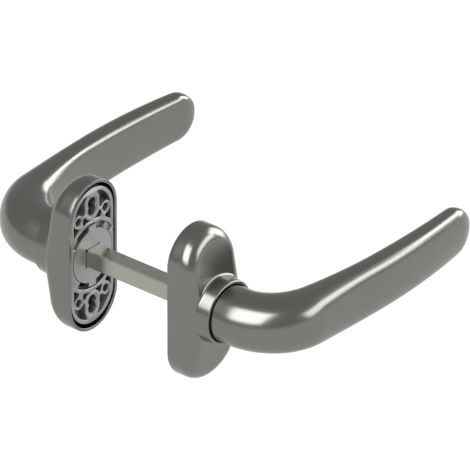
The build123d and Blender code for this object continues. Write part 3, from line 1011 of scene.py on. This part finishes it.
class HANDLE_OT_stage(bpy.types.Operator):
    """Sets the floor, lamps, surroundings and camera"""
    bl_idname = "handle.stage"
    bl_label = "Stage"

    def execute(self, context):
        add_floor()
        add_lamps()
        set_world()
        add_camera()
        context.scene.view_settings.view_transform = "Standard"
        return {"FINISHED"}


# Stage

VIEW = Vector((0.6636, 0.5548, -0.5018)).normalized()
CAMERA_TARGET = Vector((31.10, -23.91, 14.64)) * MM
CAMERA_DISTANCE = 9.0
FRAME_WIDTH = 193.62 * MM
SENSOR = 36

LAMP_DISTANCE = 3.0
FLOOR_HALF = 6.0
FLOOR_DROP = 40 * MM  # below the levers' tips when they are turned down
FLOOR_GLOW = 1.10
GLOW_TO_CAMERA = 0.88
GLOW_TO_METAL = 0.54
ROOM_GREY = 0.45

# Softboxes: compass bearing from +Y towards +X and height, width, height and roll in degrees, brightness.
# The bright ones are cards that only metal sees. The plain ones light what isn't metal.
CARDS = (
    ("card_left", -92, 41, 50, 47, 0, 4.7),
    ("card_front", 153, 22, 42, 25, 12, 3.5),
    ("card_streak", 119, 30, 30, 8, 35, 4.4),
    ("card_right", 101, 17, 34, 34, 0, 4.3),
)
PLAIN = (
    ("lamp_left", -97, 50, 60, 50, 0, 1.0),
    ("lamp_front", 165, 45, 50, 50, 0, 1.0),
)


def add_floor():
    half, bottom = FLOOR_HALF, cad_box[0][2] - FLOOR_DROP
    mesh = bpy.data.meshes.new("floor")
    corners = [(-half, -half, bottom), (half, -half, bottom), (half, half, bottom), (-half, half, bottom)]
    mesh.from_pydata(corners, [], [(0, 1, 2, 3)])
    floor = bpy.data.objects.new("floor", mesh)
    bpy.context.scene.collection.objects.link(floor)
    finish = Finish("floor_paint", (0.9, 0.9, 0.9), roughness=0.9)
    finish.shader.inputs["Specular IOR Level"].default_value = 0
    glow = finish.node("ShaderNodeEmission", None, {"Color": (1, 1, 1, 1), "Strength": FLOOR_GLOW})
    rays = "ShaderNodeLightPath"
    seen = (finish.node(rays, output="Is Camera Ray") * GLOW_TO_CAMERA
            + finish.node(rays, output="Is Glossy Ray") * GLOW_TO_METAL
            + finish.node(rays, output="Is Transmission Ray") * GLOW_TO_CAMERA)
    painted = Value(finish, finish.shader.outputs[0])
    mixed = finish.node("ShaderNodeMixShader", None, [seen, painted, glow])
    finish.feed(finish.tree.nodes["Material Output"].inputs["Surface"], mixed)
    mesh.materials.append(finish.material)


def add_lamp(name, bearing, rise, wide, high, roll, brightness, for_metal):
    bearing, rise = math.radians(bearing), math.radians(rise)
    toward = Vector((math.sin(bearing) * math.cos(rise), math.cos(bearing) * math.cos(rise), math.sin(rise)))
    light = bpy.data.lights.new(name, "AREA")
    light.shape = "RECTANGLE"
    light.size = 2 * LAMP_DISTANCE * math.tan(math.radians(wide) / 2)
    light.size_y = 2 * LAMP_DISTANCE * math.tan(math.radians(high) / 2)
    light.energy = brightness * math.pi * light.size * light.size_y
    lamp = bpy.data.objects.new(name, light)
    lamp.location = toward * LAMP_DISTANCE
    turned = (-toward).to_track_quat("-Z", "Y") @ Quaternion((0, 0, 1), math.radians(roll))
    lamp.rotation_euler = turned.to_euler()
    lamp.visible_camera = False
    lamp.visible_diffuse = not for_metal
    lamp.visible_glossy = for_metal
    bpy.context.scene.collection.objects.link(lamp)


def add_lamps():
    for lamp in CARDS:
        add_lamp(*lamp, True)
    for lamp in PLAIN:
        add_lamp(*lamp, False)


def set_world():
    world = bpy.data.worlds.new("studio")
    bpy.context.scene.world = world
    world.use_nodes = True
    tree = world.node_tree
    room = tree.nodes["Background"]
    room.inputs["Color"].default_value = (ROOM_GREY, ROOM_GREY, ROOM_GREY, 1)
    white = tree.nodes.new("ShaderNodeBackground")
    white.inputs["Color"].default_value = (1, 1, 1, 1)
    path = tree.nodes.new("ShaderNodeLightPath")
    mix = tree.nodes.new("ShaderNodeMixShader")
    tree.links.new(path.outputs["Is Camera Ray"], mix.inputs["Fac"])
    tree.links.new(room.outputs[0], mix.inputs[1])
    tree.links.new(white.outputs[0], mix.inputs[2])
    tree.links.new(mix.outputs[0], tree.nodes["World Output"].inputs["Surface"])


def add_camera():
    data = bpy.data.cameras.new("camera")
    data.sensor_width = SENSOR
    data.lens = SENSOR * CAMERA_DISTANCE / FRAME_WIDTH
    data.clip_start = 0.01
    data.clip_end = 2 * CAMERA_DISTANCE
    camera = bpy.data.objects.new("camera", data)
    camera.location = CAMERA_TARGET - VIEW * CAMERA_DISTANCE
    camera.rotation_euler = VIEW.to_track_quat("-Z", "Y").to_euler()
    bpy.context.scene.collection.objects.link(camera)
    bpy.context.scene.camera = camera


# Panel and registration

class HANDLE_PT_panel(bpy.types.Panel):
    """Lists the pieces of the handle set and their sizes"""
    bl_idname = "HANDLE_PT_panel"
    bl_label = "Lever handle set"
    bl_space_type = "VIEW_3D"
    bl_region_type = "UI"
    bl_category = "Handles"

    def draw(self, context):
        for operator in OPERATORS:
            self.layout.operator(operator.bl_idname)
        for name, group in GROUPS.items():
            column = self.layout.column(align=True)
            for field in group.__annotations__:
                column.prop(getattr(context.scene, name), field)


GROUPS = {"handle_lever": LeverSizes, "handle_rose": RoseSizes, "handle_plate": PlateSizes,
          "handle_spindle": SpindleSizes, "handle_colours": Colours}
OPERATORS = (HANDLE_OT_levers, HANDLE_OT_rose_covers, HANDLE_OT_fixing_plates, HANDLE_OT_drivers,
             HANDLE_OT_spindle, HANDLE_OT_bearings, HANDLE_OT_springs, HANDLE_OT_grub_screws, HANDLE_OT_stage)


def register():
    for group in GROUPS.values():
        bpy.utils.register_class(group)
    for operator in OPERATORS:
        bpy.utils.register_class(operator)
    bpy.utils.register_class(HANDLE_PT_panel)
    for name, group in GROUPS.items():
        setattr(bpy.types.Scene, name, bpy.props.PointerProperty(type=group))


def unregister():
    for name in GROUPS:
        delattr(bpy.types.Scene, name)
    bpy.utils.unregister_class(HANDLE_PT_panel)
    for operator in reversed(OPERATORS):
        bpy.utils.unregister_class(operator)
    for group in reversed(GROUPS.values()):
        bpy.utils.unregister_class(group)


def main():
    register()
    for operator in OPERATORS:
        group, name = operator.bl_idname.split(".")
        getattr(getattr(bpy.ops, group), name)()


if __name__ == "__main__":
    main()
